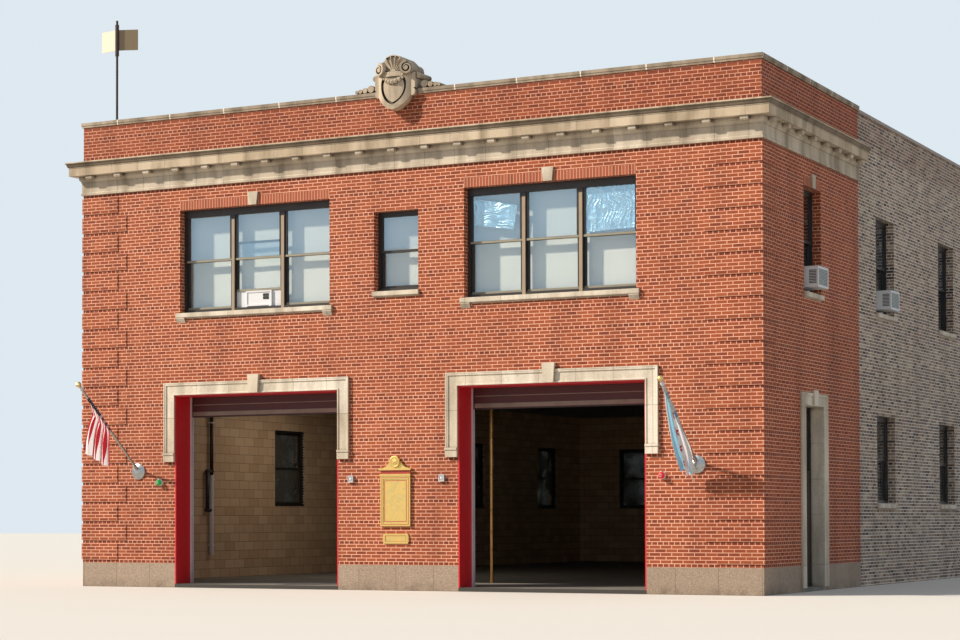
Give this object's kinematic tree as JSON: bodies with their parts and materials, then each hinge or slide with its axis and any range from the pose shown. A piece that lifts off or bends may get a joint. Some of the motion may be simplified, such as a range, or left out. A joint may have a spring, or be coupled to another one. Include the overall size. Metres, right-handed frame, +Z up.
{
  "type": "two-storey brick fire station building with two apparatus doorways",
  "caption": "Two-storey flat-roofed city building in red brick with limestone trim, two tall apparatus doorways and a hinged side door, hollow inside",
  "frame": {"origin": "on the ground, under the middle of the street front's brick face", "axes": "+X to the right along the street front, +Y into the building, +Z up"},
  "size_m": [15.7692, 27.179, 12.1],
  "materials": {
    "front_piers": "face brick",
    "front_spandrel": "face brick",
    "front_window_piers": "face brick",
    "front_wall_head": "face brick",
    "granite_base": "flame-finished granite",
    "right_return_jambs": "face brick",
    "right_return_upper": "face brick",
    "left_return_wall": "face brick",
    "right_side_wall": "common brick",
    "left_side_wall": "common brick",
    "rear_wall": "common brick",
    "apparatus_floor": "trowelled concrete",
    "upper_floor": "concrete",
    "roof_deck": "roofing felt",
    "quoins": "face brick",
    "frieze": "dressed limestone",
    "cornice": "dressed limestone",
    "modillions": "carved limestone",
    "stone_coping": "dressed limestone",
    "tile_coping": "clay tile",
    "cartouche": "carved limestone",
    "door_surrounds": "dressed limestone",
    "window_stonework": "dressed limestone",
    "doorway_linings": "red enamel paint",
    "door_tracks": "galvanised",
    "overhead_doors": "red enamel paint",
    "side_door_frame": "dark bronze paint",
    "side_door": "dark bronze paint",
    "side_door_handle": "worn brass",
    "sliding_pole": "polished brass",
    "flagpoles": "satin aluminium",
    "flags": "printed nylon",
    "plaques": "gilt bronze",
    "wall_fittings": "painted cast boxes and lamp lenses",
    "aerial_mast": "weathered paint",
    "air_conditioners": "grey-white enamel",
    "window_shades": "shade cloth",
    "front_window_frames": "dark bronze paint",
    "front_window_glass": "clear float glass",
    "right_window_frames": "dark bronze paint",
    "right_window_glass": "clear float glass",
    "left_window_frames": "dark bronze paint",
    "left_window_glass": "clear float glass",
    "rear_window_frames": "dark bronze paint",
    "rear_window_glass": "clear float glass"
  },
  "bodies": {
    "building": {"front_piers": "front_piers", "front_spandrel": "front_spandrel", "front_window_piers": "front_window_piers", "front_wall_head": "front_wall_head", "granite_base": "granite_base", "right_return_jambs": "right_return_jambs", "right_return_upper": "right_return_upper", "left_return_wall": "left_return_wall", "right_side_wall": "right_side_wall", "left_side_wall": "left_side_wall", "rear_wall": "rear_wall", "apparatus_floor": "apparatus_floor", "upper_floor": "upper_floor", "roof_deck": "roof_deck", "quoins": "quoins", "frieze": "frieze", "cornice": "cornice", "modillions": "modillions", "stone_coping": "stone_coping", "tile_coping": "tile_coping", "cartouche": "cartouche", "door_surrounds": "door_surrounds", "window_stonework": "window_stonework", "doorway_linings": "doorway_linings", "door_tracks": "door_tracks", "overhead_doors": "overhead_doors", "side_door_frame": "side_door_frame", "sliding_pole": "sliding_pole", "flagpoles": "flagpoles", "flags": "flags", "plaques": "plaques", "wall_fittings": "wall_fittings", "aerial_mast": "aerial_mast", "air_conditioners": "air_conditioners", "window_shades": "window_shades", "front_window_frames": "front_window_frames", "front_window_glass": "front_window_glass", "right_window_frames": "right_window_frames", "right_window_glass": "right_window_glass", "left_window_frames": "left_window_frames", "left_window_glass": "left_window_glass", "rear_window_frames": "rear_window_frames", "rear_window_glass": "rear_window_glass"},
    "door": {"side_door": "side_door", "side_door_handle": "side_door_handle"}
  },
  "joints": [
    {"name": "side_door_hinge", "type": "hinge", "parent": "building", "child": "door", "pos_m": [7.2816, 3.337, 1.1], "axis": [0, 0, -1], "range_deg": [0, 90]}
  ]
}
